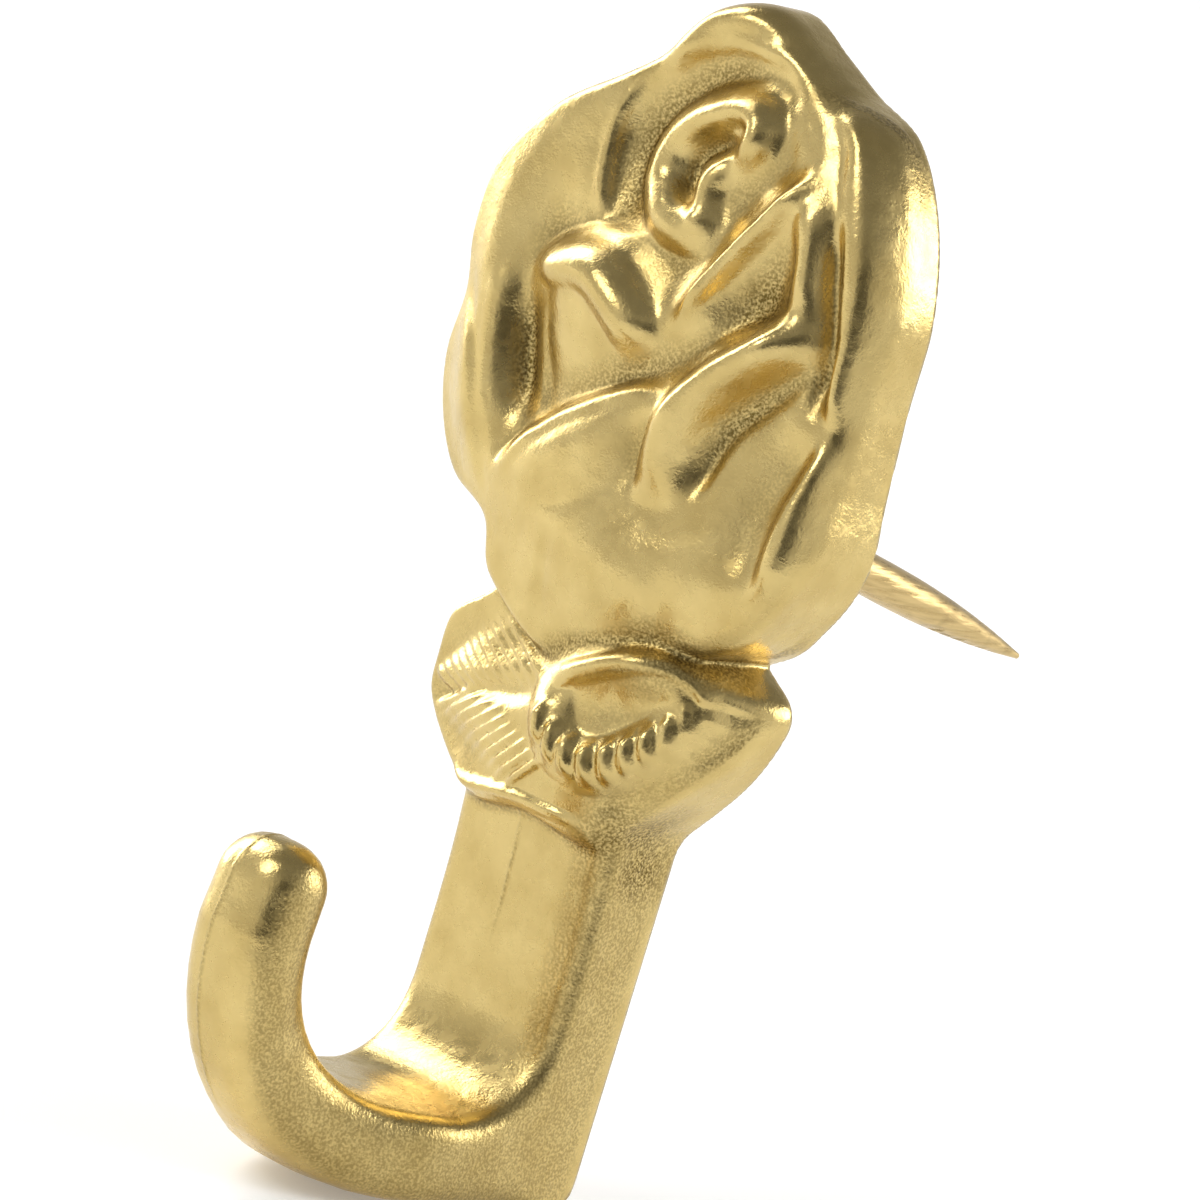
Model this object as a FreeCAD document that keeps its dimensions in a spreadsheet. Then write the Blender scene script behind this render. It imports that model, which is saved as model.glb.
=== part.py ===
import FreeCAD, Part
import Sketcher
import math
import os
from FreeCAD import Placement, Rotation, Vector

# Picture hook: a cast rose on a collar of two leaves, with a J hook below and a sloping pin behind.
# X runs across the hook, the front looks along -Y, Z is up, and the wall is the plane Y = 0.
# The origin is where the pin leaves the back of the rose.

SIZES = {
    "rose_width": 16.8,
    "rose_height": 21.2,
    "rose_depth": 5.2,
    "collar_width": 12.3,
    "collar_height": 8.0,
    "collar_depth": 4.9,
    "carve_pitch": 0.82,
    "shank_width": 6.7,
    "shank_depth": 3.15,
    "neck_depth": 4.2,
    "neck_height": 10.5,
    "neck_flare": 4.5,
    "hook_drop": 23.3,
    "hook_reach": 15.85,
    "hook_thickness": 3.1,
    "heel_round": 1.3,
    "heel_bend": 2.9,
    "tip_bend": 4.7,
    "tip_width": 3.6,
    "tip_drop": 12.4,
    "tip_round": 1.6,
    "face_crown": 1.1,
    "wall_skim": 1.0,
    "pin_diameter": 1.4,
    "pin_length": 18.6,
    "pin_point": 8.0,
    "pin_tip_diameter": 0.2,
    "pin_slope": 12.8,
    "pin_seat": 3.0,
}

# The rose is drawn 16.8 wide, 21.2 high and 5.2 deep, and stretched to the sizes above.
# Each point is (across, up, height above the wall).
ROSE_DRAWN = (16.8, 21.2, 5.2)
ROSE_OUTLINE = [
    (4.9, -4.3, 3.8), (6.5, -2.7, 3.7), (7.4, -0.6, 3.4), (7.2, 1.8, 2.9), (7.0, 4.6, 2.4),
    (6.9, 7.4, 2.2), (6.0, 10.2, 2.1), (4.4, 12.4, 2.0), (2.3, 13.3, 1.7), (0.7, 14.1, 1.8),
    (-1.2, 15.0, 2.2), (-2.9, 14.5, 2.6), (-4.2, 12.8, 2.9), (-5.5, 11.6, 3.1), (-7.5, 10.0, 3.3),
    (-9.1, 7.7, 3.4), (-9.3, 5.2, 3.4), (-8.9, 3.4, 3.3), (-9.2, 1.4, 3.1), (-8.6, -0.6, 3.1),
    (-7.3, -2.2, 3.2), (-5.1, -3.0, 3.8), (-3.9, -4.7, 4.1), (0.0, -6.2, 4.3),
]
ROSE_LINES = {
    "crown rim": [
        (-4.1, 11.9, 3.2), (-3.2, 13.3, 3.1), (-1.6, 14.1, 2.9), (0.6, 13.9, 2.6), (2.2, 12.8, 2.5),
        (3.2, 11.0, 2.7)],
    "hollow under the crown": [(-3.8, 11.2, 2.3), (-1.6, 12.8, 2.1), (0.8, 12.9, 2.2), (2.6, 11.2, 2.6)],
    "hollow left of the heart": [(-4.0, 11.0, 2.3), (-4.2, 9.4, 2.5), (-3.6, 7.5, 2.8)],
    "heart petal": [
        (0.8, 7.9, 4.1), (-1.2, 8.4, 4.2), (-1.8, 9.9, 4.2), (-0.6, 11.6, 3.9), (1.1, 11.9, 3.7),
        (1.3, 10.6, 3.9), (0.4, 9.9, 3.9)],
    "heart groove": [(0.0, 11.0, 2.9), (-1.0, 10.6, 2.8), (-1.0, 9.2, 3.1)],
    "hollow right of the heart": [(2.1, 11.6, 2.9), (1.5, 9.6, 2.9), (0.6, 7.5, 3.3), (-0.2, 5.7, 3.6)],
    "folded petal": [(3.5, 10.4, 3.8), (2.4, 8.3, 4.3), (1.1, 5.1, 4.7)],
    "hollow under the fold": [(3.2, 8.7, 3.0), (2.4, 6.6, 3.0), (1.6, 4.7, 3.7)],
    "right inner petal": [(3.5, 10.4, 3.8), (4.3, 9.0, 3.8), (4.9, 6.4, 3.9)],
    "right groove": [(4.2, 10.4, 3.0), (5.2, 7.5, 3.0), (5.8, 4.9, 3.0)],
    "right outer petal": [(4.7, 11.2, 2.5), (5.9, 8.8, 3.0), (6.3, 6.6, 2.9), (6.3, 4.4, 2.9)],
    "left rim": [
        (-5.3, 10.9, 3.6), (-7.0, 9.1, 4.0), (-7.7, 7.2, 4.3), (-7.2, 4.6, 4.5), (-6.8, 2.0, 4.5),
        (-5.4, -1.3, 4.5)],
    "left hollow": [
        (-5.8, 10.0, 2.9), (-6.5, 8.0, 2.8), (-6.4, 5.2, 3.1), (-5.9, 2.0, 3.3), (-5.0, -0.2, 3.7)],
    "left fold": [(-4.7, 11.3, 3.4), (-4.9, 9.4, 3.4), (-4.2, 7.2, 3.6)],
    "rolled lip": [(-5.0, 5.1, 4.3), (-3.9, 5.7, 4.6), (-2.6, 5.7, 4.7), (-1.6, 5.0, 4.8), (-0.4, 4.0, 4.6)],
    "hollow behind the lip": [(-5.3, 6.2, 3.6), (-3.8, 7.0, 3.6), (-2.2, 7.0, 3.7), (-0.9, 5.8, 4.0)],
    "middle petal": [(-4.3, 3.2, 4.3), (-2.9, 3.2, 4.4), (-1.6, 2.8, 4.3)],
    "hollow behind the front petals": [
        (-4.4, 0.6, 3.8), (-2.4, 1.9, 3.9), (-0.4, 3.4, 3.6), (1.5, 4.4, 3.7), (3.9, 6.2, 3.4)],
    "front left rim": [
        (-4.5, -1.0, 4.5), (-3.4, 0.0, 4.8), (-1.8, 1.1, 4.9), (0.2, 2.4, 4.8), (1.1, 2.7, 4.7)],
    "valley between the front petals": [(1.2, 1.6, 4.3), (1.9, -0.5, 4.4)],
    "front right rim": [
        (2.5, 0.8, 4.8), (2.4, 2.4, 4.9), (3.2, 4.1, 4.7), (4.3, 5.1, 4.5), (5.3, 6.0, 4.0)],
    "hollow under the right rim": [(3.3, 1.0, 4.1), (3.6, 2.7, 3.8), (4.8, 4.2, 3.4), (5.5, 5.0, 3.1)],
    "right skirt": [(6.3, 3.0, 3.2), (6.2, 1.2, 3.7), (6.0, -1.6, 4.0)],
    "hollow beside the skirt": [(5.5, 2.6, 3.3), (5.2, 0.6, 3.6), (5.0, -1.6, 4.1)],
    "belly": [(-1.0, -2.6, 5.1), (1.4, -2.4, 5.2), (3.4, -2.8, 4.9), (1.4, -4.2, 5.0)],
}
# Rolled rims and the grooves beside them: height, half width and the points (across, up) of each.
ROSE_ROLLS = {
    "heart": (0.75, 0.5, [
        (0.8, 7.8), (-0.9, 7.9), (-2.2, 9.2), (-1.5, 11.2), (0.2, 12.0), (1.3, 11.2), (0.6, 10.2),
        (-0.3, 9.6)]),
    "heart crescent": (-0.6, 0.4, [(-1.0, 8.9), (-1.2, 10.3), (0.0, 11.3)]),
    "folded petal": (0.5, 0.4, [(3.2, 10.5), (1.8, 7.9), (0.6, 5.1)]),
    "under the fold": (-0.35, 0.5, [(3.3, 9.9), (2.4, 7.6), (1.3, 5.2)]),
    "right side": (0.45, 0.5, [(3.6, 10.2), (4.3, 8.5), (4.6, 6.2)]),
    "right side groove": (-0.5, 0.4, [(4.2, 10.1), (5.1, 7.8), (5.6, 4.5)]),
    "right bump": (0.4, 0.8, [(5.5, 9.1), (6.2, 7.4), (6.3, 5.7)]),
    "left side": (0.4, 0.7, [(-5.3, 11.2), (-7.2, 9.4), (-7.8, 7.2), (-7.1, 3.8), (-5.4, -0.4)]),
    "left thin ridge": (0.35, 0.4, [(-4.8, 11.3), (-5.1, 9.3), (-3.9, 6.5)]),
    "lip": (0.7, 0.6, [(-5.5, 4.9), (-4.4, 5.7), (-2.4, 5.6), (-0.7, 4.3)]),
    "under the lip": (-0.3, 0.4, [(-5.3, 4.2), (-3.2, 4.4), (-1.4, 3.0)]),
    "front left": (0.35, 0.5, [(-4.5, -1.2), (-3.5, 0.4), (-0.8, 2.3), (0.8, 2.9)]),
    "behind the front left": (-0.4, 0.45, [(-4.6, 0.0), (-2.9, 1.7), (-0.2, 3.4)]),
    "front right": (0.65, 0.65, [(1.8, -0.2), (1.8, 1.8), (3.0, 3.9), (5.2, 6.4)]),
    "under the front right": (-0.45, 0.45, [(3.3, 0.0), (3.2, 2.2), (4.5, 4.1), (5.5, 5.6)]),
    "skirt": (0.45, 0.5, [(6.7, 3.5), (6.8, 0.8), (6.8, -1.6)]),
    "beside the skirt": (-0.35, 0.45, [(5.8, 3.6), (5.8, 0.8), (5.7, -1.6)]),
}

# The collar is drawn 12.3 wide, 8 high and 4.9 deep in the same way.
COLLAR_DRAWN = (12.3, 8.0, 4.9)
COLLAR_OUTLINE = [
    (5.2, -4.8, 1.9), (6.1, -5.5, 1.1), (6.1, -6.5, 1.4), (5.2, -8.4, 2.8), (3.2, -10.8, 3.7),
    (2.4, -11.3, 3.8), (0.0, -11.0, 4.3), (-2.2, -11.3, 3.9), (-3.8, -10.7, 3.5), (-5.3, -9.8, 2.9),
    (-6.1, -8.9, 2.7), (-6.1, -7.8, 2.9), (-5.7, -6.3, 3.3), (-4.4, -5.3, 3.6), (-2.6, -3.9, 3.6),
    (0.0, -3.3, 3.6), (3.2, -3.8, 3.6),
]
COLLAR_LINES = {
    "left midrib": [(-5.8, -8.9, 2.7), (-3.6, -8.4, 3.8), (-1.2, -7.8, 4.4), (0.4, -7.4, 4.7)],
    "left upper blade": [(-5.1, -7.0, 3.0), (-3.2, -6.6, 3.5), (-1.4, -6.4, 3.9)],
    "left lower blade": [(-4.6, -9.8, 2.9), (-2.4, -9.8, 3.7), (-0.4, -9.6, 4.3)],
    "centre fold": [(0.6, -6.6, 4.7), (0.8, -7.8, 4.9), (1.4, -9.0, 4.7), (2.0, -10.0, 4.3)],
    "right rim": [(1.2, -6.3, 4.8), (2.5, -5.5, 4.9), (3.8, -5.0, 4.6), (4.7, -5.1, 3.9), (5.6, -5.6, 2.4)],
    "right cup": [(1.8, -7.0, 4.1), (3.0, -6.7, 3.9), (4.2, -6.3, 3.4), (5.2, -6.1, 2.2)],
    "right lower rim": [(1.8, -8.2, 4.5), (3.1, -8.0, 4.3), (4.2, -7.4, 3.8), (5.2, -6.6, 2.6)],
}


def spread_sheet(doc):
    """Put the driving sizes in a sheet whose cells are named."""
    sheet = doc.addObject("Spreadsheet::Sheet", "Sizes")
    for row, (name, value) in enumerate(SIZES.items(), start=1):
        sheet.set("A%d" % row, name)
        sheet.set("B%d" % row, str(value))
        sheet.setAlias("B%d" % row, name)
    doc.recompute()
    return sheet


def stretched(points, drawn, width, height, depth):
    """Stretch drawn points to the sizes asked for."""
    return [(x * width / drawn[0], z * height / drawn[1], h * depth / drawn[2]) for x, z, h in points]


def stretched_roll(roll, drawn, width, height, depth):
    """Stretch a rolled rim or groove in the same way."""
    rise, half, points = roll
    points = [(x * width / drawn[0], z * height / drawn[1]) for x, z in points]
    return (rise * depth / drawn[2], half * width / drawn[0], points)


def along(points, step):
    """Points at most one step apart along a line of (x, z, height)."""
    for a, b in zip(points, points[1:]):
        count = max(1, math.ceil(math.hypot(b[0] - a[0], b[1] - a[1]) / step))
        for k in range(count + 1):
            yield tuple(p + (q - p) * k / count for p, q in zip(a, b))


def pinned_heights(lines, origin, counts, pitch):
    """Mean height of the lines that pass each node of the carving's grid."""
    totals = {}
    for line in lines:
        for x, z, h in along(line, pitch / 3):
            node = (round((x - origin[0]) / pitch), round((z - origin[1]) / pitch))
            if 0 <= node[0] < counts[0] and 0 <= node[1] < counts[1]:
                total, number = totals.get(node, (0.0, 0))
                totals[node] = (total + h, number + 1)
    return {node: total / number for node, (total, number) in totals.items()}


def relaxed_heights(pinned, counts, sweeps=250, overrun=1.6):
    """Stretch a smooth skin between the pinned nodes by relaxing every other node to its neighbours."""
    across, up = counts
    mean = sum(pinned.values()) / len(pinned)
    grid = [[pinned.get((i, j), mean) for j in range(up)] for i in range(across)]
    free = [(i, j) for i in range(across) for j in range(up) if (i, j) not in pinned]
    for _ in range(sweeps):
        for i, j in free:
            left = grid[max(i - 1, 0)][j]
            right = grid[min(i + 1, across - 1)][j]
            below = grid[i][max(j - 1, 0)]
            above = grid[i][min(j + 1, up - 1)]
            grid[i][j] += overrun * ((left + right + below + above) / 4 - grid[i][j])
    return grid


def softened(grid):
    """Average every node of a grid with the nodes beside it."""
    across = len(grid)
    up = len(grid[0])

    def mean(i, j):
        near = [(i - 1, j), (i + 1, j), (i, j - 1), (i, j + 1)]
        held = [grid[min(max(a, 0), across - 1)][min(max(b, 0), up - 1)] for a, b in near]
        return (4 * grid[i][j] + sum(held)) / 8

    return [[mean(i, j) for j in range(up)] for i in range(across)]


def distance_to_line(x, z, points):
    """Shortest distance from (x, z) to a line of points."""
    gaps = []
    for (ax, az), (bx, bz) in zip(points, points[1:]):
        run = (bx - ax, bz - az)
        share = ((x - ax) * run[0] + (z - az) * run[1]) / (run[0] ** 2 + run[1] ** 2)
        share = min(max(share, 0), 1)
        gaps.append(math.hypot(x - ax - share * run[0], z - az - share * run[1]))
    return min(gaps)


def rolled(x, z, rolls):
    """Height that rolled rims and grooves add at (x, z)."""
    total = 0.0
    for height, half, points in rolls:
        total += height * math.exp(-(distance_to_line(x, z, points) / half) ** 2)
    return total


def clamped_knots(count):
    """Knots and multiplicities of an even cubic spline that starts and ends on its first and last pole."""
    return list(range(count - 2)), [4] + [1] * (count - 4) + [4]


def closed_knots(count):
    """Knots and multiplicities of an even cubic spline that runs round a ring of poles."""
    return list(range(count + 1)), [1] * (count + 1)


def cubic_face(rows, ring):
    """Cubic surface over rows of poles, where a ring's rows close on themselves."""
    row_knots, row_mults = clamped_knots(len(rows))
    pole_knots, pole_mults = closed_knots(len(rows[0])) if ring else clamped_knots(len(rows[0]))
    surface = Part.BSplineSurface()
    surface.buildFromPolesMultsKnots(rows, row_mults, pole_mults, row_knots, pole_knots, False, ring, 3, 3)
    return surface.toShape()


def carved_skin(outline, lines, rolls, pitch):
    """Front surface of a carving: a cubic surface over the relaxed grid."""
    xs = [p[0] for p in outline]
    zs = [p[1] for p in outline]
    origin = (min(xs) - 2 * pitch, min(zs) - 2 * pitch)
    counts = (math.ceil((max(xs) - origin[0]) / pitch) + 4, math.ceil((max(zs) - origin[1]) / pitch) + 4)
    heights = softened(softened(relaxed_heights(pinned_heights(lines, origin, counts, pitch), counts)))

    def pole(i, j):
        x = origin[0] + i * pitch
        z = origin[1] + j * pitch
        return Vector(x, -heights[i][j] - rolled(x, z, rolls), z)

    return cubic_face([[pole(i, j) for j in range(counts[1])] for i in range(counts[0])], ring=False)


def carving(outline, lines, rolls, pitch, depth):
    """Solid between the wall and the carved skin, inside a smooth closed outline."""
    edge = Part.BSplineCurve()
    edge.interpolate([Vector(x, 0, z) for x, z, h in outline], PeriodicFlag=True)
    blank = Part.Face(Part.Wire(edge.toShape())).extrude(Vector(0, -2 * depth, 0))
    walls = outline + outline[:1]
    behind = carved_skin(outline, [walls] + lines, rolls, pitch).extrude(Vector(0, 2 * depth, 0))
    return blank.common(behind)


def relief(doc, sheet, name, drawn, outline, lines, rolls):
    """A carved piece of the casting, stretched to the sizes named after it in the sheet."""
    size = [sheet.get("%s_%s" % (name, way)) for way in ("width", "height", "depth")]
    outline = stretched(outline, drawn, *size)
    lines = [stretched(line, drawn, *size) for line in lines.values()]
    rolls = [stretched_roll(roll, drawn, *size) for roll in rolls.values()]
    piece = doc.addObject("Part::Feature", name)
    piece.Shape = carving(outline, lines, rolls, sheet.carve_pitch, size[2])
    return piece


def bent(centre, radius, degrees):
    """Point (y, z) on an arc; 0 degrees looks to the wall and 90 looks down."""
    angle = math.radians(degrees)
    return (centre[0] + radius * math.cos(angle), centre[1] - radius * math.sin(angle))


def heel_outside(sheet, corner, share):
    """Point (y, z) part of the way down the back, round the heel and along the bottom."""
    back = sheet.wall_skim
    down = corner[1] + sheet.hook_drop - sheet.heel_round
    turn = sheet.heel_round * math.pi / 2
    under = back - corner[0] - sheet.heel_round
    run = share * (down + turn + under)
    if run < down:
        return (back, corner[1] - run)
    middle = (back - sheet.heel_round, sheet.heel_round - sheet.hook_drop)
    if run < down + turn:
        return bent(middle, sheet.heel_round, 90 * (run - down) / turn)
    return (middle[0] - (run - down - turn), -sheet.hook_drop)


def section(inner, outer, width, inner_crown, outer_crown):
    """Ring of poles between an inner and an outer point (y, z): soft corners and crowned faces."""
    depth = math.dist(inner, outer)
    ahead = ((inner[0] - outer[0]) / depth, (inner[1] - outer[1]) / depth)
    side = width / 2
    half = [
        (0, depth + inner_crown / 4), (side * 0.72, depth - inner_crown / 2), (side, depth * 0.7),
        (side, depth * 0.3), (side * 0.72, outer_crown / 2), (0, -outer_crown / 4),
    ]
    mirrored = [(-x, rise) for x, rise in half[4:0:-1]]
    return [Vector(x, outer[0] + ahead[0] * rise, outer[1] + ahead[1] * rise) for x, rise in half + mirrored]


def tube(rings):
    """Solid inside a run of rings, closed flat at both ends."""
    skin = cubic_face(rings, ring=True)
    ends = [edge for edge in skin.Edges if edge.isClosed()]
    caps = [Part.Face(Part.Wire(edge)) for edge in ends]
    shell = Part.Compound([skin] + caps)
    shell.sewShape()
    solid = Part.Solid(shell.Shells[0])
    if solid.Volume < 0:
        solid.reverse()
    return solid


def neck_rings(sheet):
    """Rings down the flat-backed stem, thicker at the neck under the leaves."""
    rings = []
    for share in (-0.5, 0.0, 0.4, 0.8, 1.0):
        ease = min(1, (1 - share) ** 2)
        front = -sheet.shank_depth - (sheet.neck_depth - sheet.shank_depth) * ease
        level = -sheet.neck_height - sheet.neck_flare * share
        behind = (sheet.wall_skim, level)
        rings.append(section((front, level), behind, sheet.shank_width, sheet.face_crown, 0))
    return rings


def j_rings(sheet, heel, bend):
    """Rings round the heel, along the bottom, up round the tip bend and into the rounded finger."""
    thick = sheet.hook_thickness
    crown = sheet.face_crown
    slim = (sheet.shank_width - sheet.tip_width) / 8
    rings = []
    for step in range(7):
        inner = bent(heel, sheet.heel_bend, 15 * step)
        rings.append(section(inner, heel_outside(sheet, heel, step / 6), sheet.shank_width, crown, 0))
    for step in range(1, 7):
        inner = bent(bend, sheet.tip_bend, 90 + 15 * step)
        outer = bent(bend, sheet.tip_bend + thick, 90 + 15 * step)
        rings.append(section(inner, outer, sheet.shank_width - slim * (step + 2), crown, crown * step / 6))
    inside = bend[0] - sheet.tip_bend
    middle = inside - thick / 2
    for level, share in ((-sheet.tip_drop - sheet.tip_round, 1.0), (-sheet.tip_drop, 0.55)):
        reach = thick / 2 * share
        rings.append(section((middle + reach, level), (middle - reach, level),
                             sheet.tip_width * share, crown * share, crown * share))
    return rings


def hook(doc, sheet):
    """Shank and J in one, trimmed flat on the wall side."""
    floor = sheet.hook_thickness - sheet.hook_drop
    heel = (-sheet.shank_depth - sheet.heel_bend, floor + sheet.heel_bend)
    bend = (sheet.hook_thickness - sheet.hook_reach + sheet.tip_bend, floor + sheet.tip_bend)
    blank = doc.addObject("Part::Feature", "hook_blank")
    blank.Shape = tube(neck_rings(sheet) + j_rings(sheet, heel, bend))
    wall = doc.addObject("Part::Box", "wall")
    wall.setExpression("Length", "2 * Sizes.shank_width")
    wall.setExpression("Width", "10 * Sizes.wall_skim")
    wall.setExpression("Height", "2 * Sizes.hook_drop")
    wall.setExpression("Placement.Base.x", "-Sizes.shank_width")
    wall.setExpression("Placement.Base.z", "-1.5 * Sizes.hook_drop")
    trimmed = doc.addObject("Part::Cut", "hook")
    trimmed.Base = blank
    trimmed.Tool = wall
    return trimmed


def lay_along_pin(piece, start):
    """Point a piece's own Z axis down the sloping pin, starting a distance before the wall."""
    piece.Placement = Placement(Vector(0, 0, 0), Rotation(Vector(-1, 0, 0), 90))
    piece.setExpression("Placement.Rotation.Angle", "90 deg + Sizes.pin_slope * 1 deg")
    piece.setExpression("Placement.Base.y", "-%s * cos(Sizes.pin_slope * 1 deg)" % start)
    piece.setExpression("Placement.Base.z", "%s * sin(Sizes.pin_slope * 1 deg)" % start)


def hook_casting(doc, sheet):
    """The whole casting, with a blind bore for the pin in the back of the rose."""
    pieces = [
        relief(doc, sheet, "rose", ROSE_DRAWN, ROSE_OUTLINE, ROSE_LINES, ROSE_ROLLS),
        relief(doc, sheet, "collar", COLLAR_DRAWN, COLLAR_OUTLINE, COLLAR_LINES, {}),
        hook(doc, sheet),
    ]
    joined = doc.addObject("Part::MultiFuse", "casting_blank")
    joined.Shapes = pieces
    joined.Refine = False
    bore = doc.addObject("Part::Cylinder", "pin_bore")
    bore.setExpression("Radius", "Sizes.pin_diameter / 2")
    bore.setExpression("Height", "Sizes.pin_seat + Sizes.pin_diameter")
    lay_along_pin(bore, "Sizes.pin_seat")
    casting = doc.addObject("Part::Cut", "hook_casting")
    casting.Base = joined
    casting.Tool = bore
    casting.Refine = False
    return casting


def pin_profile(body, sheet):
    """Half section of the pin, drawn beside its axis: root, straight stretch, long point, blunt end."""
    sketch = body.newObject("Sketcher::SketchObject", "pin_profile")
    plane = [feature for feature in body.Origin.OriginFeatures if feature.Role == "XZ_Plane"][0]
    sketch.AttachmentSupport = [(plane, "")]
    sketch.MapMode = "FlatFace"
    radius = sheet.pin_diameter / 2
    blunt = sheet.pin_tip_diameter / 2
    whole = sheet.pin_seat + sheet.pin_length
    straight = whole - sheet.pin_point
    sweep = (sheet.pin_point ** 2 + (radius - blunt) ** 2) / (2 * (radius - blunt))
    circle = Part.Circle(Vector(radius - sweep, straight, 0), Vector(0, 0, 1), sweep)
    root, wall, point, end, axis = sketch.addGeometry([
        Part.LineSegment(Vector(0, 0, 0), Vector(radius, 0, 0)),
        Part.LineSegment(Vector(radius, 0, 0), Vector(radius, straight, 0)),
        Part.ArcOfCircle(circle, 0, math.asin(sheet.pin_point / sweep)),
        Part.LineSegment(Vector(blunt, whole, 0), Vector(0, whole, 0)),
        Part.LineSegment(Vector(0, whole, 0), Vector(0, 0, 0)),
    ])
    sketch.addConstraint([
        Sketcher.Constraint("Coincident", root, 1, -1, 1),
        Sketcher.Constraint("Coincident", root, 2, wall, 1),
        Sketcher.Constraint("Tangent", wall, 2, point, 1),
        Sketcher.Constraint("Coincident", point, 2, end, 1),
        Sketcher.Constraint("Coincident", end, 2, axis, 1),
        Sketcher.Constraint("Coincident", axis, 2, root, 1),
        Sketcher.Constraint("Horizontal", root),
        Sketcher.Constraint("Vertical", wall),
        Sketcher.Constraint("Horizontal", end),
        Sketcher.Constraint("Vertical", axis),
    ])
    drive(sketch, Sketcher.Constraint("DistanceX", root, 1, root, 2, radius), "Sizes.pin_diameter / 2")
    drive(sketch, Sketcher.Constraint("DistanceX", end, 2, end, 1, blunt), "Sizes.pin_tip_diameter / 2")
    drive(sketch, Sketcher.Constraint("DistanceY", wall, 1, wall, 2, straight),
          "Sizes.pin_seat + Sizes.pin_length - Sizes.pin_point")
    drive(sketch, Sketcher.Constraint("DistanceY", axis, 2, axis, 1, whole),
          "Sizes.pin_seat + Sizes.pin_length")
    return sketch


def drive(sketch, constraint, formula):
    """Add a dimension to a sketch and bind it to the sheet."""
    sketch.setExpression("Constraints[%d]" % sketch.addConstraint(constraint), formula)


def wall_pin(doc, sheet):
    """Steel pin turned with a long point, seated in the casting's bore."""
    body = doc.addObject("PartDesign::Body", "wall_pin")
    sketch = pin_profile(body, sheet)
    turned = body.newObject("PartDesign::Revolution", "turned_pin")
    turned.Profile = sketch
    turned.ReferenceAxis = (sketch, ["V_Axis"])
    turned.Angle = 360
    lay_along_pin(body, "Sizes.pin_seat")
    return body


def check(doc):
    """Stop if any object failed or has an empty or broken shape."""
    for piece in doc.Objects:
        if "Invalid" in piece.State or "Error" in piece.State:
            raise RuntimeError("%s did not compute" % piece.Label)
        if hasattr(piece, "Shape") and not piece.isDerivedFrom("App::OriginFeature"):
            if piece.Shape.isNull() or not piece.Shape.isValid():
                raise RuntimeError("%s has no sound shape" % piece.Label)


def main():
    doc = FreeCAD.newDocument("picture_hook")
    sheet = spread_sheet(doc)
    pieces = {"hook_casting": hook_casting(doc, sheet), "wall_pin": wall_pin(doc, sheet)}
    doc.recompute()
    check(doc)
    os.makedirs("parts", exist_ok=True)
    for name, piece in pieces.items():
        piece.Label = name
        piece.Shape.exportStep("parts/%s.step" % name)


main()
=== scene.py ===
import math

import bmesh
import bpy
import numpy as np
from mathutils import Matrix, Vector

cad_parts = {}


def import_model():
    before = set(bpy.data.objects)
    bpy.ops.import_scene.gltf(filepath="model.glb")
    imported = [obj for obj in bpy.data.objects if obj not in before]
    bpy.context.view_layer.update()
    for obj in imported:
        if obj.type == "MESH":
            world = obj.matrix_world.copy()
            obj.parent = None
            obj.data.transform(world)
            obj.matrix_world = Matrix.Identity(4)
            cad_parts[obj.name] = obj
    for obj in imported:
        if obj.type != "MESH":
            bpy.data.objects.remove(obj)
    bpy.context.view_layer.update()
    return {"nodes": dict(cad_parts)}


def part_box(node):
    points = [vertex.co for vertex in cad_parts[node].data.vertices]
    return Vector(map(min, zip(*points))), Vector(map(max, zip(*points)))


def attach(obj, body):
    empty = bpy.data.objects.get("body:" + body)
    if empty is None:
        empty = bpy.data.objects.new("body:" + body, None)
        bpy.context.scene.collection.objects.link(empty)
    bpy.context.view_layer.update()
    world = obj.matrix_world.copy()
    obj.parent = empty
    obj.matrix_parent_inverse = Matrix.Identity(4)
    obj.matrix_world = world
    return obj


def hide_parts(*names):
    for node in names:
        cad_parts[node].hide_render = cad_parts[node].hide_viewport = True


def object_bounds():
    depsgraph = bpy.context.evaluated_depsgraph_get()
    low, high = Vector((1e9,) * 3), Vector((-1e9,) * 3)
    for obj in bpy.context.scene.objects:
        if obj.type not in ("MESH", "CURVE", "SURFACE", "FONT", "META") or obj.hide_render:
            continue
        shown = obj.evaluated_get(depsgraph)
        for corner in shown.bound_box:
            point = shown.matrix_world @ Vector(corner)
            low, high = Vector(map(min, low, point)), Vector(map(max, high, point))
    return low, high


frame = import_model()

# The casting is worked out in millimetres, as depth in front of the wall, and made in metres.
MM = 0.001

# The photograph's camera, in degrees, millimetres and pixels: to the right of the hook, a little above it
# and rolled. A line of sight finds the carving in a few rounds, from a first guess of its height.
PICTURE = 1200
CAMERA_AZIMUTH = 40.0
CAMERA_RISE = 8.0
CAMERA_ROLL = 16.905
CAMERA_DISTANCE = 250.0
CAMERA_FOCUS = 7925.0
CAMERA_TARGET = np.array([-2.684, 0.0, -4.673])
CAMERA_SENSOR = 36.0
SIGHT_HEIGHT = 3.5
SIGHT_ROUNDS = 6

# What the camera sees, from near to far in metres.
CAMERA_CLIP = (0.01, 20)

# The floor's paper: its colour, roughness and shine, and how much it is filled up to white.
WHITE = (1, 1, 1, 1)
PAPER = (0.88, 0.88, 0.88, 1)
PAPER_ROUGH = 0.9
PAPER_SHINE = 0.1
FLOOR_FILL = 0.2

# Form of the paper, in metres: half its size, its gap under the hook, the way in which it bends down in front
# of the hook, where the bend starts, how long it is, its stops and the slope after it.
FLOOR_HALF = 5.0
FLOOR_GAP = 0.0002
FLOOR_AHEAD = (0.8, -0.6)
BEND_START = 0.02
BEND_LENGTH = 0.06
BEND_STOPS = 13
FLOOR_SLOPE = 0.16

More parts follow.
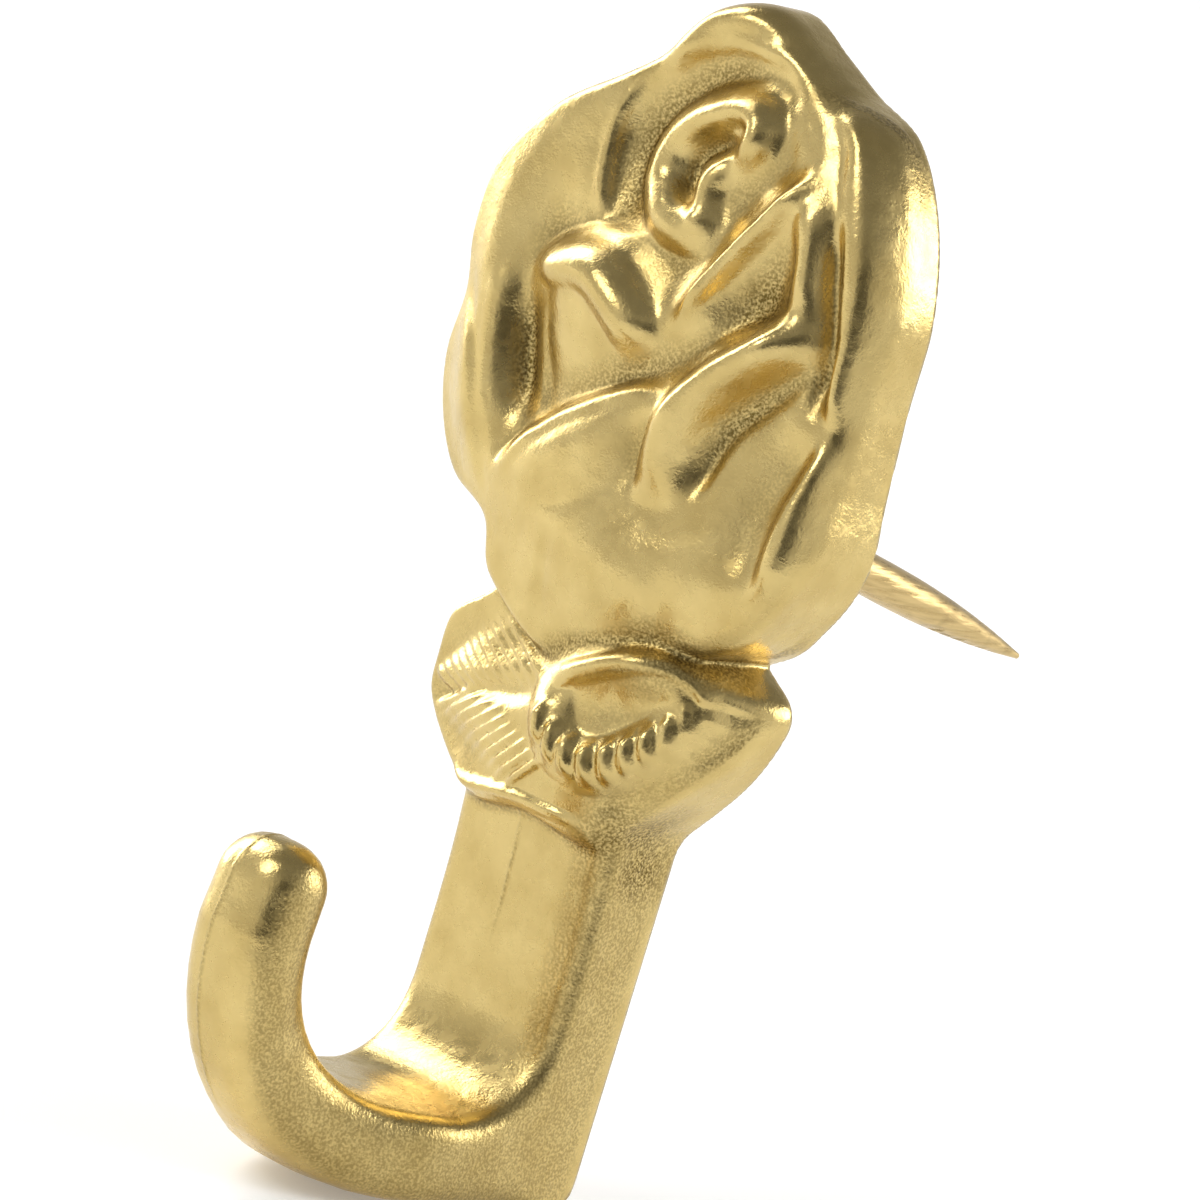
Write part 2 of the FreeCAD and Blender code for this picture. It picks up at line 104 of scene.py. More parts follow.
# Level of the studio's walls, and where they are darker: the way there, the cosines from it at which they
# start to darken and are darkest, and the share of the level that is left.
WALL_LIGHT = 0.8
DARK_WAYS = {
    "overhead": ((0, 0, 1), 0.1, 0.8, 0.3),
    "front right": ((0.866, -0.5, 0.0), 0.75, 0.97, 0.12),
}

# Softboxes: place, width and height in metres, and power in watts.
LAMPS = {
    "left softbox": ((-1.15, 0.0, 0.6), (0.7, 1.3), 17.0),
    "front softbox": ((-0.2, -1.0, 0.95), (0.6, 0.6), 5.5),
    "right softbox": ((0.75, 1.05, 0.5), (0.6, 0.6), 6.5),
}

# Plating: its colours, the sizes of grain, clouds, patches and cast dents, the parts of their range that
# count, the roughness, and the depths of the bumps.
PLATE_PALE = (0.68, 0.52, 0.21, 1)
PLATE_DEEP = (0.58, 0.43, 0.16, 1)
# The last colour is painted shade in hollows, creases and on the flanks, and the dark grain of the poured
# patch.
PLATE_SHADE_AND_GRAIN = (0.15, 0.10, 0.025, 1)
GRAIN_SIZE = 0.09
CLOUD_SIZE = 1.6
PATCH_SIZE = 0.5
PATCH_DETAIL = 4.0
DENT_SIZE = 0.7
GRAIN_PART = (0.35, 0.6)
CLOUD_PART = (0.35, 0.7)
MIDDLE_PART = (0.3, 0.7)
PLATE_ROUGH = (0.2, 0.32)
DULL_ROUGH = 0.12
GRAIN_SHARE = (0.3, 1.0)
GRAIN_BUMP = 0.03
DENT_BUMP = 0.035

# The pin's metal: its colours, fine lines along its length, dark clouds, roughness and bump.
PIN_DEEP = (0.50, 0.36, 0.15, 1)
PIN_PALE = (0.66, 0.49, 0.22, 1)
PIN_DARK = (0.26, 0.18, 0.07, 1)
LINE_SIZE = 0.12
LINE_STRETCH = (1, 0.05, 1)
LINE_PART = (0.35, 0.65)
LINE_BUMP = 0.02
PIN_CLOUD_SIZE = 1.2
PIN_CLOUD_PART = (0.55, 0.75)
PIN_CLOUD_SHARE = (0, 0.6)
PIN_ROUGH = (0.24, 0.4)

# Carved sheets: finest pitch, its multiples from coarse to fine, margin round the outline, rounds of settling
# for each pitch, and softening.
SHEET_PITCH = 0.1
SHEET_SCALES = (8, 4, 2, 1)
SHEET_MARGIN = 0.5
SHEET_ROUNDS = 300
BASE_BLUR = 0.55

# Fine strokes: step along a line, fade at its ends, softening, and the width of an overlap's edge.
STROKE_STEP = 0.2
STROKE_FADE = 1.6
STROKE_BLUR = 0.12
OVERLAP_EDGE = 0.4

# Pitch of the finished mesh on the right of the carving, on its left, over the height of the collar, down the
# hook and in a band along the seam, with the band's half width and the gap to the next pitch.
CARVED_PITCH = 0.13
LEFT_PITCH = 0.11
COLLAR_PITCH = 0.09
COLLAR_LOW = -12.0
COLLAR_HIGH = -5.0
SHANK_PITCH = 0.2
SEAM_PITCH = 0.05
SEAM_BAND = 0.15
SEAM_GAP = 0.2

# What counts as the flat back: distance from the wall in metres, and bend between faces in radians.
FLAT_NEAR = 1e-6
FLAT_BEND = 0.01

# The hook below the leaves, from its driving sizes.
SHANK_WIDTH = 6.7
SHANK_DEPTH = 3.1
NECK_DEPTH = 3.5
NECK_TOP = -10.0
NECK_FULL = -10.5
NECK_END = -15.0
HOOK_DROP = 23.25
HOOK_REACH = 15.78
HOOK_THICKNESS = 3.1
HEEL_ROUND = 1.3
HEEL_BEND = 2.9
TIP_BEND = 4.7
TIP_WIDTH = 3.5
TIP_TOP = -12.6
TIP_ROUND = 1.5
TIP_LEAN = 0.2

# Depths at which the hook starts to narrow and to get its rounder tip, and how far each change takes. The
# crown of its faces and the rounding of its edges, and the share of the rounding that is left at the back.
TAPER_START = 6.0
TAPER_RUN = 6.9
FINGER_START = 7.0
FINGER_RUN = 6.0
FACE_CROWN = 0.2
TIP_CROWN = 0.3
HOOK_EDGE = 0.75
TIP_EDGE = 1.3
BACK_EDGE = 0.1

# Rounding of the relief's rim from left to right and towards the top, between the forms, at the pits and
# round the back.
RIM_ACROSS = ([-4.0, 4.0], [0.3, 0.7])
RIM_UP = ([10.0, 13.0], [0.3, 0.9])
COLLAR_JOIN = 0.2
HOOK_JOIN = 0.4
PIT_EDGE = 0.15
BACK_EDGE_ROUND = 0.12

# Seam of the mould: its height, half width and place across, the height at which it starts on the shank's
# front, how soon it is full, and the depth at which it starts on the J's limb.
SEAM_HEIGHT = 0.02
SEAM_HALF = 0.08
SEAM_PLACE = -0.35
SEAM_LOW = -15.5
SEAM_RUN = 1.5
SEAM_LIMB = 13.0

# Where painted shade darkens the plating, in hollows, creases and on the hook's flanks, and where it is
# grainy. In hollows: how deep and how far round they are, the share that doesn't count yet, and how near to
# the front a place lies.
RECESS_DEPTH = 0.5
RECESS_REACH = 1.1
RECESS_START = 0.15
FRONT_NEAR = 0.3

# Painted shade on the hook's flanks, with a darker seam line: the share, the top and its fade, the reach
# round the edge and its fade, and the plain strip along the back and its fade.
FLANK_SHARE = 0.5
FLANK_TOP = -11.0
FLANK_RUN = 1.5
FLANK_REACH = 0.5
FLANK_FADE = 0.3
BACK_PLAIN = 0.2
BACK_FADE = 0.5

# Painted shade in the creases between rose, collar and hook: the reach from left to right, and the depth
# where it starts.
CREASE_ACROSS = (1.5, 3.5)
CREASE_REACH = (0.4, 1.4)
FRONT_START = 0.5

# The rough patch where the metal was poured in, and its pits: across, depth, up and radius. The patch is at
# its full strength round the middle.
POURED = (3.5, 1.5, -11.7, 2.3)
POURED_FULL = 1.2
PITS = [(3.6, 1.0, -11.4, 0.25), (3.6, 0.6, -11.8, 0.2), (3.55, 1.4, -11.8, 0.18)]

# Outlines and folds seen from the front: across, up and height above the wall.
ROSE_OUTLINE = [
    (4.9, -4.3, 3.3), (6.5, -2.7, 3.4), (7.38, -0.6, 3.3), (7.2, 1.8, 2.6), (7.0, 4.6, 2.4),
    (6.9, 7.4, 2.2), (6.0, 10.2, 2.1), (4.4, 12.4, 2.0), (2.3, 13.3, 1.7), (0.7, 14.1, 1.8),
    (-1.2, 15.0, 2.2), (-2.9, 14.5, 2.6), (-4.2, 12.8, 2.9), (-5.5, 11.6, 3.1), (-7.5, 10.0, 3.3),
    (-9.1, 7.7, 3.4), (-9.3, 5.2, 3.4), (-8.9, 3.4, 3.3), (-9.2, 1.4, 3.1), (-8.6, -0.6, 3.1),
    (-7.3, -2.2, 3.2), (-5.1, -3.0, 3.8), (-3.9, -4.7, 4.1), (0.0, -6.2, 4.3),
]
ROSE_LINES = {
    "crown rim": [
        (-4.1, 11.9, 3.2), (-3.2, 13.3, 3.1), (-1.6, 14.1, 2.9), (0.6, 13.9, 2.6), (2.2, 12.8, 2.5),
        (3.2, 11.0, 2.7)],
    "hollow under the crown": [(-3.8, 11.2, 2.3), (-1.6, 12.8, 2.1), (0.8, 12.9, 2.2), (2.6, 11.2, 2.6)],
    "hollow left of the heart": [(-4.0, 11.0, 2.3), (-4.2, 9.4, 2.5), (-3.6, 7.5, 2.8)],
    "heart petal": [
        (0.8, 7.9, 3.6), (-1.2, 8.4, 3.5), (-1.8, 9.9, 3.4), (-0.6, 11.6, 3.2), (1.1, 11.9, 3.1),
        (1.3, 10.6, 3.3), (0.4, 9.9, 3.4)],
    "heart groove": [(0.0, 11.0, 3.3), (-1.0, 10.6, 3.3), (-1.0, 9.2, 3.4)],
    "hollow right of the heart": [(2.1, 11.6, 2.9), (1.5, 9.6, 2.9), (0.6, 7.5, 3.3), (-0.2, 5.7, 3.6)],
    "folded petal": [(3.5, 10.4, 3.8), (2.4, 8.3, 4.3), (1.1, 5.1, 4.7)],
    "hollow under the fold": [(3.2, 8.7, 3.0), (2.4, 6.6, 3.0), (1.6, 4.7, 3.7)],
    "right inner petal": [(3.5, 10.4, 3.8), (4.3, 9.0, 3.8), (4.9, 6.4, 3.9)],
    "right groove": [(4.2, 10.4, 3.0), (5.2, 7.5, 3.0), (5.8, 4.9, 3.0)],
    "right outer petal": [(4.7, 11.2, 2.5), (5.9, 8.8, 3.0), (6.3, 6.6, 2.9), (6.3, 4.4, 2.9)],
    "left rim": [
        (-5.2, 10.9, 3.5), (-6.6, 9.1, 3.8), (-7.3, 7.2, 4.0), (-7.1, 4.6, 4.3), (-6.8, 2.0, 4.5),
        (-5.4, -1.3, 4.5)],
    "left hollow": [
        (-5.8, 10.0, 3.4), (-6.3, 8.0, 3.5), (-6.4, 5.2, 3.4), (-5.9, 2.0, 3.3), (-5.0, -0.2, 3.7)],
    "left fold": [(-4.7, 11.3, 3.4), (-4.9, 9.4, 3.4), (-4.2, 7.2, 3.6)],
    "rolled lip": [(-5.0, 5.1, 4.3), (-3.9, 5.7, 4.6), (-2.6, 5.7, 4.7), (-1.6, 5.0, 4.8), (-0.4, 4.0, 4.6)],
    "hollow behind the lip": [(-5.3, 6.2, 3.6), (-3.8, 7.0, 3.6), (-2.2, 7.0, 3.7), (-0.9, 5.8, 4.0)],
    "middle petal": [(-4.3, 3.2, 4.3), (-2.9, 3.2, 4.4), (-1.6, 2.8, 4.3)],
    "hollow behind the front petals": [
        (-4.4, 0.6, 3.8), (-2.4, 1.9, 3.9), (-0.4, 3.4, 3.6), (1.5, 4.4, 3.7), (3.9, 6.2, 3.4)],
    "front left rim": [
        (-4.5, -1.0, 4.5), (-3.4, 0.0, 4.8), (-1.8, 1.1, 4.9), (0.2, 2.4, 4.8), (1.1, 2.7, 4.7)],
    "valley between the front petals": [(1.2, 1.6, 4.3), (1.9, -0.5, 4.4)],
    "front right rim": [
        (2.5, 0.8, 4.8), (2.4, 2.4, 4.9), (3.2, 4.1, 4.7), (4.3, 5.1, 4.5), (5.3, 6.0, 4.0)],
    "hollow under the right rim": [(3.3, 1.0, 4.1), (3.6, 2.7, 3.8), (4.8, 4.2, 3.4), (5.5, 5.0, 3.1)],
    "right skirt": [(6.3, 3.0, 3.2), (6.2, 1.2, 3.7), (6.0, -1.6, 4.0)],
    "hollow beside the skirt": [(5.5, 2.6, 3.3), (5.2, 0.6, 3.6), (5.0, -1.6, 4.1)],
    "belly": [(-1.0, -2.6, 5.1), (1.4, -2.4, 5.2), (3.4, -2.8, 4.9), (1.4, -4.2, 5.0)],
}

COLLAR_OUTLINE = [
    (5.2, -4.8, 1.9), (6.1, -5.5, 1.1), (6.1, -6.5, 1.4), (5.2, -8.4, 2.8), (3.2, -10.8, 3.7),
    (2.4, -11.3, 3.8), (0.0, -11.0, 4.3), (-2.2, -11.3, 3.9), (-3.8, -10.7, 3.5), (-5.3, -9.8, 2.9),
    (-6.1, -8.9, 2.7), (-6.1, -7.8, 2.9), (-5.7, -6.3, 3.3), (-4.4, -5.3, 3.6), (-2.6, -3.9, 3.6),
    (0.0, -3.3, 3.3), (3.2, -3.8, 2.2),
]
COLLAR_LINES = {
    "behind the rim": [(0.6, -5.6, 4.6), (2.0, -5.0, 4.7), (3.2, -4.5, 4.4), (4.2, -4.3, 2.6)],
    "left midrib": [(-5.8, -8.9, 2.7), (-3.6, -8.4, 3.8), (-1.2, -7.8, 4.4), (0.4, -7.4, 4.7)],
    "left upper blade": [(-5.1, -7.0, 3.0), (-3.2, -6.6, 3.5), (-1.4, -6.4, 3.9)],
    "left lower blade": [(-4.6, -9.8, 2.9), (-2.4, -9.8, 3.7), (-0.4, -9.6, 4.3)],
    "centre fold": [(0.6, -6.6, 4.7), (0.8, -7.8, 4.9), (1.4, -9.0, 4.7), (2.0, -10.0, 4.3)],
    "right rim": [(1.2, -6.3, 4.8), (2.5, -5.5, 4.9), (3.8, -5.0, 4.6), (4.7, -5.1, 3.9), (5.6, -5.6, 2.4)],
    "right cup": [(1.8, -7.0, 4.2), (3.0, -6.7, 4.0), (4.2, -6.3, 3.5), (5.2, -6.1, 2.3)],
    "right lower rim": [(1.8, -8.2, 4.5), (3.1, -8.0, 4.3), (4.2, -7.4, 3.8), (5.2, -6.6, 2.6)],
}

# Fine strokes of the rose, in picture pixels (across, down). Beads stand proud and grooves sink by a height,
# over a half width that is one value or several along the stroke. An overlap drops the right-hand side of its
# line, as one walks along it, by a depth that fades over a reach.
ROSE_BEADS = {
    "crown roll": (0.35, 0.75, [(655, 70), (690, 34), (715, 19), (745, 14), (775, 18), (800, 32), (816, 58),
                                (824, 90), (829, 125), (828, 160), (820, 188)]),
    "second crown ridge": (0.25, 0.38, [(664, 76), (690, 54), (715, 45), (740, 43), (765, 50), (790, 62),
                                        (806, 80)]),
    "ripple": (0.15, 0.2, [(695, 98), (718, 92), (740, 88), (760, 87), (780, 93), (797, 104)]),
    "inner right band": (0.2, 0.4, [(797, 98), (804, 125), (806, 150), (804, 175)]),
    "heart": (0.7, (0.75, 0.9, 0.8, 0.65, 0.5), [
        (722, 242), (702, 236), (684, 228), (670, 214), (663, 196), (662, 178), (667, 159), (677, 140),
        (690, 126), (706, 116), (724, 110), (742, 106), (758, 110), (766, 122), (763, 138), (754, 152),
        (742, 163), (726, 171)]),
    "bud": (0.5, 0.55, [(740, 162), (722, 172), (712, 186), (708, 205), (711, 226), (718, 242)]),
    "diagonal": (0.5, 0.36, [(826, 166), (812, 180), (780, 210), (740, 250), (700, 292), (672, 326)]),
    "side ridge": (0.4, 0.7, [(818, 190), (815, 215), (811, 245), (808, 275), (803, 300), (795, 325)]),
    "side bump": (0.5, (0.35, 0.9, 0.3), [
        (848, 88), (858, 115), (866, 150), (868, 190), (866, 240), (864, 285), (858, 320), (850, 355),
        (843, 390), (838, 425), (836, 450)]),
    "left rim": (0.25, (0.5, 0.9), [(514, 245), (509, 272), (504, 300), (499, 350), (496, 400), (498, 450)]),
    "thin ridge": (0.3, 0.25, [(645, 74), (632, 92), (622, 115), (613, 140), (606, 170), (602, 200),
                               (597, 232)]),
    "lip": (0.6, 0.9, [(548, 296), (546, 276), (560, 264), (580, 262), (598, 272), (612, 292), (626, 318),
                       (640, 348), (650, 370)]),
    "left front rim": (0.2, 0.4, [(495, 480), (503, 460), (525, 437), (560, 415), (600, 399), (640, 389),
                                  (662, 390)]),
    "right front edge": (0.15, 0.16, [(700, 358), (740, 337), (770, 325), (790, 314), (800, 300)]),
    "right front rim": (0.75, 0.85, [(652, 512), (658, 465), (672, 425), (692, 398), (720, 376), (758, 355),
                                     (795, 338), (818, 328)]),
    "skirt": (0.5, (0.5, 0.8), [(838, 430), (825, 465), (808, 495), (793, 525), (781, 555), (772, 590),
                                (768, 620)]),
}
ROSE_GROOVES = {
    "heart crescent": (0.7, 0.32, [
        (694, 214), (689, 198), (687, 180), (690, 164), (700, 152), (716, 145), (734, 141), (748, 137)]),
    "left valley": (0.35, 0.45, [(531, 285), (527, 330), (523, 380), (521, 425)]),
    "side line": (0.5, 0.3, [(838, 215), (832, 260), (828, 300), (830, 340), (823, 370), (815, 400),
                             (811, 430)]),
    "between the front petals": (0.2, 0.7, [(632, 400), (634, 425), (638, 455), (644, 495)]),
    "under the right rim": (0.55, (0.25, 0.5, 0.5), [
        (684, 512), (696, 478), (710, 447), (727, 424), (752, 404), (778, 383), (800, 363), (824, 340)]),
    "beside the skirt": (0.4, 0.75, [(812, 425), (786, 468), (765, 500), (749, 530), (738, 565), (730, 600)]),
    "belly valley": (0.15, 0.45, [(664, 550), (658, 580), (654, 610), (651, 640), (650, 670)]),
}
ROSE_OVERLAPS = {
    "diagonal": (0.3, 0.9, [(680, 320), (700, 290), (740, 245), (780, 205), (812, 178)]),
    "thin ridge": (0.25, 0.6, [(597, 235), (601, 200), (603, 175), (610, 145), (618, 120), (635, 85)]),
    "lip edge": (0.35, 0.6, [(655, 255), (640, 238), (600, 229), (575, 235), (550, 241), (530, 252)]),
    "middle petal": (0.3, 0.5, [(525, 450), (535, 425), (540, 400), (543, 350), (545, 300), (543, 275)]),
    "left edge": (0.35, 0.5, [(484, 505), (478, 480), (472, 440), (468, 400), (467, 350), (468, 300),
                              (472, 260)]),
    "left front rim": (0.5, 0.55, [(670, 392), (640, 388), (600, 398), (560, 414), (525, 436), (503, 460),
                                   (494, 480)]),
    "right front edge": (0.3, 0.5, [(800, 302), (787, 315), (770, 325), (740, 335), (700, 358), (670, 385)]),
    "belly edge": (0.15, 0.6, [(640, 480), (600, 500), (580, 510), (560, 516), (540, 510), (515, 490)]),
    "strip": (0.25, 0.4, [(528, 645), (531, 610), (535, 575), (541, 540), (552, 515)]),
}

# Fine strokes of the collar. A hatch is a row of beads: height, half width, start and run of the first,
# start and run of the last, and how many. A fan's beads cross a rim: height, half widths, the centre that
# they point away from, their reach, the rim, and how many.
COLLAR_BEADS = {
    "right rim": (0.35, 0.45, [(548, 692), (560, 677), (585, 670), (615, 664), (645, 662), (675, 666),
                               (700, 678), (722, 694), (755, 706), (792, 714)]),
    "pleated rim": (0.4, 0.95, [
        (562, 668), (553, 692), (549, 722), (560, 750), (588, 766), (620, 763), (653, 748), (684, 730),
        (712, 708), (735, 698)]),
    "left low edge": (0.2, 0.25, [(440, 760), (464, 780), (490, 788), (520, 799), (555, 815), (592, 832)]),
}
COLLAR_GROOVES = {
    "left midrib": (0.25, 0.35, [(425, 698), (455, 690), (485, 688), (515, 692), (545, 690)]),
    "cup": (0.12, 0.6, [(595, 700), (612, 708), (632, 709), (655, 704), (685, 692)]),
}
COLLAR_OVERLAPS = {
    "pleated rim": (0.35, 0.9, [(585, 830), (598, 800), (625, 779), (660, 759), (695, 735), (725, 712)]),
}
COLLAR_HATCHES = {
    "upper left blade": (0.2, 0.2, (436, 664), (24, 30), (500, 604), (46, 80), 11),
    "lower left blade": (0.2, 0.2, (432, 706), (54, -22), (500, 786), (46, -32), 10),
}
COLLAR_FANS = {
    "pleats": (0.28, (0.24, 0.34), (600, 300), 28, [
        (545, 722), (556, 742), (574, 757), (596, 765), (620, 762), (645, 753), (670, 741), (692, 727),
        (712, 712)], 10),
}


def camera_axes():
    """Right, up and back of the photograph's camera, rolled."""
    turn, rise, roll = (math.radians(v) for v in (CAMERA_AZIMUTH, CAMERA_RISE, CAMERA_ROLL))
    back = np.array([math.sin(turn) * math.cos(rise), -math.cos(turn) * math.cos(rise), math.sin(rise)])
    right = np.array([math.cos(turn), math.sin(turn), 0.0])
    up = np.cross(back, right)
    return (right * math.cos(roll) + up * math.sin(roll), up * math.cos(roll) - right * math.sin(roll), back)


def from_picture(pixels, sheet, heights):
    """Where lines of sight through picture pixels meet a carved sheet, as (across, up)."""
    right, up, back = camera_axes()
    eye = CAMERA_TARGET + back * CAMERA_DISTANCE
    pixels = np.array(pixels, float) - PICTURE / 2
    rays = pixels[:, :1] * right - pixels[:, 1:] * up - back * CAMERA_FOCUS
    height = np.full(len(pixels), SIGHT_HEIGHT)
    for _ in range(SIGHT_ROUNDS):
        hits = eye + rays * ((-height - eye[1]) / rays[:, 1])[:, None]
        height = (height + sheet.read(heights, hits[:, 0], hits[:, 2])) / 2
    return hits[:, [0, 2]]


def eased(share):
    """Share from 0 to 1 that starts and ends softly."""
    return share * share * (3 - 2 * share)


def rounded_loop(points, steps=12):
    """Closed smooth curve through points, as many short steps."""
    ring = np.array(points, float)
    before, after, beyond = np.roll(ring, 1, 0), np.roll(ring, -1, 0), np.roll(ring, -2, 0)
    spans = []
    for t in np.arange(steps) / steps:
        spans.append(0.5 * (2 * ring + (after - before) * t
                            + (2 * before - 5 * ring + 4 * after - beyond) * t ** 2
                            + (3 * ring - before - 3 * after + beyond) * t ** 3))
    return np.stack(spans, 1).reshape(-1, ring.shape[1])


def rounded_line(points, steps=8):
    """Open smooth curve through points."""
    line = np.array(points, float)
    padded = np.vstack([2 * line[0] - line[1], line, 2 * line[-1] - line[-2]])
    spans = []
    for a, b, c, d in zip(padded, padded[1:], padded[2:], padded[3:]):
        for t in np.arange(steps) / steps:
            spans.append(0.5 * (2 * b + (c - a) * t + (2 * a - 5 * b + 4 * c - d) * t ** 2
                                + (3 * b - a - 3 * c + d) * t ** 3))
    spans.append(line[-1])
    return np.array(spans)


def evenly(line, step):
    """Points about one step apart along a polyline."""
    gaps = np.hypot(*np.diff(line[:, :2], axis=0).T)
    run = np.concatenate([[0], np.cumsum(gaps)])
    stops = np.linspace(0, run[-1], max(2, int(run[-1] / step)))
    return np.stack([np.interp(stops, run, column) for column in line.T], 1)


def signed_distance(across, up, loop):
    """Distance to a closed loop of points, negative inside."""
    nearest = np.full(np.broadcast(across, up).shape, np.inf)
    crossings = np.zeros(nearest.shape, int)
    for (ax, az), (bx, bz) in zip(loop, np.roll(loop, -1, 0)):
        ex, ez = bx - ax, bz - az
        share = np.clip(((across - ax) * ex + (up - az) * ez) / (ex * ex + ez * ez), 0, 1)
        nearest = np.minimum(nearest, (across - ax - share * ex) ** 2 + (up - az - share * ez) ** 2)
        if ez:
            spans = (up < az) != (up < bz)
            crossings += spans & (across < ax + (up - az) * ex / ez)
    return np.where(crossings % 2 == 1, -1, 1) * np.sqrt(nearest)


class Sheet:
    """A grid of values over a box of the front view, read between its nodes."""

    # Keeps places just short of the last node, which has no next one.
    SHORT = 1.001

    def __init__(self, low, high, pitch):
        self.low = np.array(low, float)
        self.pitch = pitch
        self.count = np.ceil((np.array(high, float) - self.low) / pitch).astype(int) + 1
        self.across = self.low[0] + np.arange(self.count[0])[:, None] * pitch
        self.up = self.low[1] + np.arange(self.count[1])[None, :] * pitch

    def corners(self, across, up):
        """Lower node and share of the way to the next, both ways, for each place."""
        i = np.clip((across - self.low[0]) / self.pitch, 0, self.count[0] - self.SHORT)
        j = np.clip((up - self.low[1]) / self.pitch, 0, self.count[1] - self.SHORT)
        return i.astype(int), j.astype(int), i % 1, j % 1

    def read(self, values, across, up):
        """Values between the nodes."""
        i, j, s, t = self.corners(across, up)
        return ((values[i, j] * (1 - s) + values[i + 1, j] * s) * (1 - t)
                + (values[i, j + 1] * (1 - s) + values[i + 1, j + 1] * s) * t)


def curvature(values):
    """Difference of each node from its four neighbours."""
    padded = np.pad(values, 1, mode="edge")
    return padded[2:, 1:-1] + padded[:-2, 1:-1] + padded[1:-1, 2:] + padded[1:-1, :-2] - 4 * values


def settle(sheet, marks, start, tension, rounds, hold=40.0):
    """Bend a springy sheet through marked points (across, up, height) by conjugate steps."""
    i, j, s, t = sheet.corners(marks[:, 0], marks[:, 1])
    rows = sheet.count[1]
    nodes = np.stack([i * rows + j, (i + 1) * rows + j, i * rows + j + 1, (i + 1) * rows + j + 1])
    shares = np.stack([(1 - s) * (1 - t), s * (1 - t), (1 - s) * t, s * t])

    def pull(values):
        weights = shares * (hold * values)
        return np.bincount(nodes.ravel(), weights.ravel(), minlength=sheet.count.prod()).reshape(sheet.count)

    def force(values):
        bend = curvature(values)
        return curvature(bend) - tension * bend + pull((values.ravel()[nodes] * shares).sum(0))

    values = start.copy()
    rest = pull(marks[:, 2]) - force(values)
    step = rest.copy()
    energy = (rest ** 2).sum()
    for _ in range(rounds):
        answer = force(step)
        share = energy / (step * answer).sum()
        values += share * step
        rest -= share * answer
        fresh = (rest ** 2).sum()
        step = rest + fresh / energy * step
        energy = fresh
    return values


def blurred(values, spread):
    """Soften a grid of values over a spread of nodes."""
    reach = int(3 * spread) + 1
    weights = np.exp(-0.5 * (np.arange(-reach, reach + 1) / spread) ** 2)
    weights /= weights.sum()
    for axis in (0, 1):
        width = [(reach, reach) if a == axis else (0, 0) for a in (0, 1)]
        padded = np.pad(values, width, mode="edge")
        span = np.arange(values.shape[axis])
        shifted = [np.take(padded, span + k, axis) for k in range(2 * reach + 1)]
        values = sum(w * s for w, s in zip(weights, shifted))
    return values


def beside(sheet, line):
    """Each node's distance from a line, whether it is on the right, how far along, and a fade to the ends."""
    nearest = np.full(sheet.count, np.inf)
    right = np.zeros(sheet.count, bool)
    place = np.zeros(sheet.count)
    run = 0.0
    for (ax, az), (bx, bz) in zip(line, line[1:]):
        ex, ez = bx - ax, bz - az
        length = math.hypot(ex, ez)
        share = np.clip(((sheet.across - ax) * ex + (sheet.up - az) * ez) / length ** 2, 0, 1)
        gap = np.hypot(sheet.across - ax - share * ex, sheet.up - az - share * ez)
        closer = gap < nearest
        nearest = np.where(closer, gap, nearest)
        right = np.where(closer, (sheet.across - ax) * ez - (sheet.up - az) * ex > 0, right)
        place = np.where(closer, run + share * length, place)
        run += length
    fade = np.clip(np.minimum(place, run - place) / min(STROKE_FADE, run / 3), 0, 1)
    return nearest, right, place / run, eased(fade)


def hatched(hatches):
    """Single beads of every hatch."""
    beads = {}
    for name, (height, half, start, run, last_start, last_run, count) in hatches.items():
        ends = np.array([start + run, last_start + last_run], float)
        for k in range(count):
            x, y, across, down = ends[0] + (ends[1] - ends[0]) * k / (count - 1)
            beads[name, k] = (height, half, [(x, y), (x + across, y + down)])
    return beads


def fanned(fans):
    """Single beads of every fan."""
    beads = {}
    for name, (height, half, centre, reach, rim, count) in fans.items():
        line = rounded_line(rim)
        stops = evenly(line, np.hypot(*np.diff(line, axis=0).T).sum() / count)
        for k, stop in enumerate(stops):
            away = (stop - centre) / np.hypot(*(stop - centre))
            beads[name, k] = (height, half, [stop - away * reach, stop + away * reach])
    return beads


def rounded(gap):
    """Round back of a bead, by distance from its line in half widths."""
    return np.maximum(1 - gap ** 2, 0)


def hollowed(gap):
    """Soft hollow of a groove."""
    return np.exp(-gap ** 2)


def drawn_line(pixels, sheet, heights):
    """Smooth line over a carved sheet from a few picture pixels."""
    return evenly(rounded_line(from_picture(pixels, sheet, heights)), STROKE_STEP)


def stroked(sheet, heights, beads, grooves, overlaps):
    """Add fine strokes, drawn in the picture, to a carved sheet."""
    fine = heights.copy()
    for sign, strokes, swell in ((1, beads, rounded), (-1, grooves, hollowed)):
        for height, half, pixels in strokes.values():
            gap, _, along, fade = beside(sheet, drawn_line(pixels, sheet, heights))
            width = np.interp(along, np.linspace(0, 1, np.size(half)), np.ravel(half))
            fine += sign * height * fade * swell(gap / width)
    for drop, reach, pixels in overlaps.values():
        gap, right, _, fade = beside(sheet, drawn_line(pixels, sheet, heights))
        edge = np.clip(gap / OVERLAP_EDGE, 0, 1)
        fine -= drop * fade * right * eased(edge) * np.exp(-gap / reach)
    return fine


def carved(folds, edge, stiff=6.0):
    """Carved sheet: heights through all the folds, coarse first and then finer."""
    low = edge[:, :2].min(0) - SHEET_MARGIN
    high = edge[:, :2].max(0) + SHEET_MARGIN
    lines = [rounded_line(fold) for fold in folds.values()] + [edge]
    previous = None
    for scale in SHEET_SCALES:
        pitch = SHEET_PITCH * scale
        sheet = Sheet(low, high, pitch)
        marks = np.vstack([evenly(line, pitch / 2) for line in lines])
        start = np.full(sheet.count, marks[:, 2].mean())
        if previous:
            start = previous[0].read(previous[1], sheet.across, sheet.up)
        previous = (sheet, settle(sheet, marks, start, stiff * pitch ** 2, SHEET_ROUNDS))
    return previous[0], blurred(previous[1], BASE_BLUR / SHEET_PITCH)


